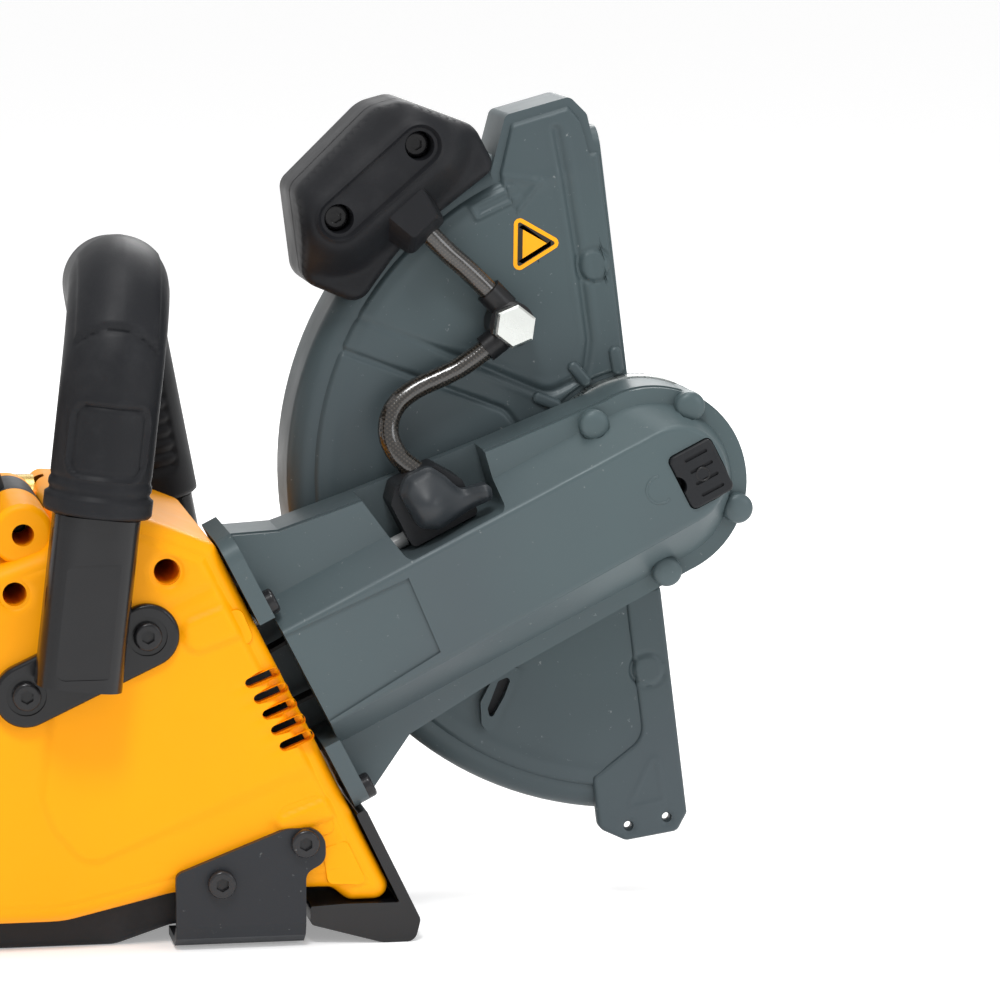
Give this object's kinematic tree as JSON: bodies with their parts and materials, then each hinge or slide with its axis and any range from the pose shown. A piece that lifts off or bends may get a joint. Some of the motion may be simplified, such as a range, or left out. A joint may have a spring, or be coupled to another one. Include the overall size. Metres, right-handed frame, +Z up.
{
  "type": "rescue saw",
  "caption": "Hand-held battery cut-off saw with a tilted belt arm, swinging half-round wheel guard with water feed, front and rear handles and a slide-in pack.",
  "frame": {"origin": "on the floor under the front handle, in the flat underside of the base tray, on the saw's mid-plane", "axes": "+X forward to the wheel, +Y to the saw's left along the wheel axis, +Z up"},
  "size_m": [0.5717, 0.1878, 0.2961],
  "materials": {
    "body_yellow": "satin moulded",
    "black_plastic": "fine moulded texture",
    "handle_plastic": "semi-gloss moulded",
    "black_steel": "black powder coat",
    "deflector": "moulded, slightly worn",
    "arm_grey": "grey-green powder coat on a light-metal casting",
    "guard_grey": "grey-green powder coat on a light-metal casting",
    "arm_screw": "grey coated",
    "black_screw": "black oxide",
    "bright_steel": "turned",
    "zinc_steel": "zinc plated",
    "bearing_steel": "ground",
    "pulley_steel": "sintered",
    "core_steel": "laminated",
    "copper": "enamelled copper",
    "white_plastic": "moulded",
    "belt_rubber": "matt",
    "grip_rubber": "satin overmould",
    "hose": "smooth, slightly shiny",
    "hose_fitting": "moulded",
    "banjo_metal": "nickel plated",
    "brass_fitting": "turned",
    "trigger_plastic": "moulded",
    "battery_plastic": "fine moulded texture",
    "cell_wrap": null,
    "module_aluminium": "extruded heat sink with potting",
    "clear_tube": "translucent tube",
    "lead_red": "insulated wire",
    "lead_black": "insulated wire"
  },
  "bodies": {
    "saw": {"right_housing": "body_yellow", "left_housing": "body_yellow", "base_frame": "black_plastic", "foot_brackets": "black_steel", "debris_deflector": "deflector", "arm_housing": "arm_grey", "arm_cover": "arm_grey", "arm_cover_screws": "arm_screw", "arm_flange_screws": "black_screw", "hub_ring": "bright_steel", "guard_retainer": "zinc_steel", "retainer_screws": "zinc_steel", "spindle_bearings": "bearing_steel", "drive_belt": "belt_rubber", "motor_stator": "core_steel", "motor_windings": "copper", "motor_bearings": "bearing_steel", "lower_hose": "hose", "valve_body": "black_plastic", "water_inlet": "brass_fitting", "front_handle": "handle_plastic", "front_handle_grip": "grip_rubber", "handle_screws": "black_screw", "bracket_screws": "black_screw", "housing_screws": "black_screw", "rear_handle_right": "black_plastic", "rear_handle_left": "black_plastic", "rear_handle_grip": "grip_rubber", "handle_pins": "zinc_steel", "switch_module": "white_plastic", "damper_bush": "grip_rubber", "battery_bay": "black_plastic", "terminal_block": "copper", "controller_module": "module_aluminium", "water_tube": "clear_tube", "battery_leads": "lead_red", "motor_leads": "lead_black"},
    "guard": {"guard_shell": "guard_grey", "guard_grip": "grip_rubber", "guard_grip_screws": "black_screw", "upper_hose": "hose", "banjo_fitting": "hose_fitting", "banjo_bolt": "banjo_metal"},
    "spindle": {"spindle_shaft": "bright_steel", "inner_flange": "bright_steel", "driven_pulley": "pulley_steel"},
    "wheel_clamp": {"outer_flange": "bright_steel", "arbor_bolt": "zinc_steel"},
    "rotor": {"rotor": "core_steel", "cooling_fan": "white_plastic", "driver_pulley": "pulley_steel"},
    "lock_button": {"spindle_lock_button": "black_plastic"},
    "valve_lever": {"valve_lever": "black_plastic"},
    "trigger": {"trigger": "trigger_plastic"},
    "lock_off": {"lock_off_lever": "trigger_plastic"},
    "battery": {"battery_case": "battery_plastic", "battery_cells": "cell_wrap"},
    "battery_release": {"battery_release_button": "body_yellow"}
  },
  "joints": [
    {"name": "guard_swing", "type": "hinge", "parent": "saw", "child": "guard", "pos_m": [0.2, 0, 0.16], "axis": [0, 1, 0], "range_deg": [-25, 10], "deforming": ["lower_hose"]},
    {"name": "spindle_spin", "type": "hinge", "parent": "saw", "child": "spindle", "pos_m": [0.2, 0, 0.16], "axis": [0, 1, 0], "continuous": true},
    {"name": "rotor_spin", "type": "hinge", "parent": "saw", "child": "rotor", "pos_m": [0.02625, 0, 0.07147], "axis": [0, 1, 0], "continuous": true},
    {"name": "wheel_clamp_slide", "type": "slide", "parent": "spindle", "child": "wheel_clamp", "axis": [0, 1, 0], "range_m": [0, 0.04]},
    {"name": "lock_button_press", "type": "slide", "parent": "saw", "child": "lock_button", "axis": [0, 1, 0], "range_m": [0, 0.0035], "stiffness_N_per_m": 600, "springref_m": -0.002},
    {"name": "valve_lever_turn", "type": "hinge", "parent": "saw", "child": "valve_lever", "pos_m": [0.11794, 0, 0.15915], "axis": [0, 1, 0], "range_deg": [-90, 0]},
    {"name": "trigger_pull", "type": "hinge", "parent": "saw", "child": "trigger", "pos_m": [-0.086, 0, 0.182], "axis": [0, 1, 0], "range_deg": [0, 8], "stiffness_Nm_per_rad": 0.6, "springref_deg": -8.59},
    {"name": "lock_off_press", "type": "hinge", "parent": "saw", "child": "lock_off", "pos_m": [-0.172, 0, 0.206], "axis": [0, 1, 0], "range_deg": [0, 5], "stiffness_Nm_per_rad": 0.8, "springref_deg": -8.59},
    {"name": "battery_slide", "type": "slide", "parent": "saw", "child": "battery", "axis": [-1, 0, 0], "range_m": [0, 0.12]},
    {"name": "battery_release_press", "type": "slide", "parent": "battery", "child": "battery_release", "axis": [0, 0, -1], "range_m": [0, 0.0035], "stiffness_N_per_m": 500, "springref_m": -0.002}
  ],
  "couplings": [
    {"joint": "rotor_spin", "follows": "spindle_spin", "ratio": 1.875}
  ]
}
